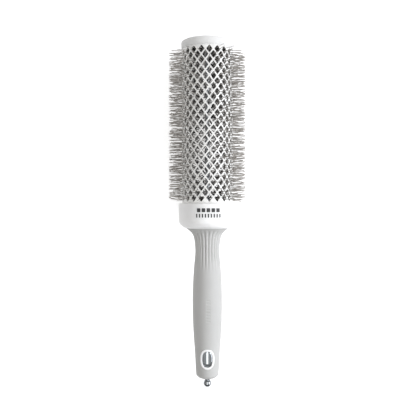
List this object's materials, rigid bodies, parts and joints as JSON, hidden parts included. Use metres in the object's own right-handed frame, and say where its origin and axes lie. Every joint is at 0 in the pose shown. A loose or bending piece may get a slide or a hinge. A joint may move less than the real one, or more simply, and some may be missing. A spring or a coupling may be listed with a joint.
{
  "type": "round barrel hair brush",
  "caption": "Round thermal hair brush: vented white barrel with nylon bristles, rounded collar, soft grey grip, and a ball-ended sectioning pin released by an oval chrome button.",
  "frame": {"origin": "on the brush's axis, half way between the crown of the cap and the end of the ball", "axes": "+Y along the brush from the handle to the crown, +Z out of the chrome button's side, +X completes a right-handed frame; the brush lies on its bristles with -Z down"},
  "size_m": [0.0546, 0.2436, 0.0546],
  "materials": {
    "ceramic_coat": "white ceramic coating fired on a perforated aluminium sleeve, gloss",
    "white_plastic": "moulded white ABS, satin gloss",
    "bezel_plastic": "moulded white ABS, polished",
    "core_plastic": "moulded polypropylene, plain, inside the grip",
    "soft_grip": "soft-touch thermoplastic elastomer, warm light grey, fine matt texture",
    "nylon_bristle": "crimped heat-resistant nylon filament, brown-grey, slightly translucent",
    "steel_wire": "drawn galvanised wire, twisted",
    "plain_steel": "turned or stamped steel, bright",
    "spring_steel": "drawn spring wire",
    "chrome_button": "polished chrome plate on the button",
    "chrome_pin": "polished chrome plate on steel",
    "black_rubber": "moulded nitrile rubber"
  },
  "bodies": {
    "brush": {"barrel": "ceramic_coat", "end_cap": "white_plastic", "bristle_row_01": "nylon_bristle", "bristle_row_02": "nylon_bristle", "bristle_row_03": "nylon_bristle", "bristle_row_04": "nylon_bristle", "bristle_row_05": "nylon_bristle", "bristle_row_06": "nylon_bristle", "bristle_row_07": "nylon_bristle", "bristle_row_08": "nylon_bristle", "bristle_row_09": "nylon_bristle", "bristle_row_10": "nylon_bristle", "bristle_row_11": "nylon_bristle", "bristle_row_12": "nylon_bristle", "bristle_row_13": "nylon_bristle", "bristle_row_14": "nylon_bristle", "bristle_row_15": "nylon_bristle", "bristle_row_16": "nylon_bristle", "bristle_row_17": "nylon_bristle", "bristle_row_18": "nylon_bristle", "bristle_row_19": "nylon_bristle", "bristle_row_20": "nylon_bristle", "bristle_row_21": "nylon_bristle", "bristle_row_22": "nylon_bristle", "bristle_row_23": "nylon_bristle", "bristle_row_24": "nylon_bristle", "bristle_row_25": "nylon_bristle", "bristle_row_26": "nylon_bristle", "bristle_row_27": "nylon_bristle", "bristle_row_28": "nylon_bristle", "bristle_row_29": "nylon_bristle", "stem_wire_a": "steel_wire", "stem_wire_b": "steel_wire", "stem_ferrule": "plain_steel", "collar": "white_plastic", "handle_core": "core_plastic", "grip": "soft_grip", "button_bezel": "bezel_plastic", "button_spring_a": "spring_steel", "button_spring_b": "spring_steel", "friction_ring": "black_rubber", "exit_ferrule": "plain_steel"},
    "button": {"release_button": "chrome_button", "brake_stirrup": "plain_steel"},
    "sectioning_pin": {"pin_rod": "chrome_pin", "pin_ball": "chrome_pin", "pin_stop": "plain_steel"}
  },
  "joints": [
    {"name": "pin_slide", "type": "slide", "parent": "brush", "child": "sectioning_pin", "axis": [0, -1, 0], "range_m": [0, 0.067]},
    {"name": "button_press", "type": "slide", "parent": "brush", "child": "button", "axis": [0, 0, -1], "range_m": [0, 0.001], "stiffness_N_per_m": 400, "springref_m": -0.002, "deforming": ["button_spring_a", "button_spring_b"]}
  ]
}
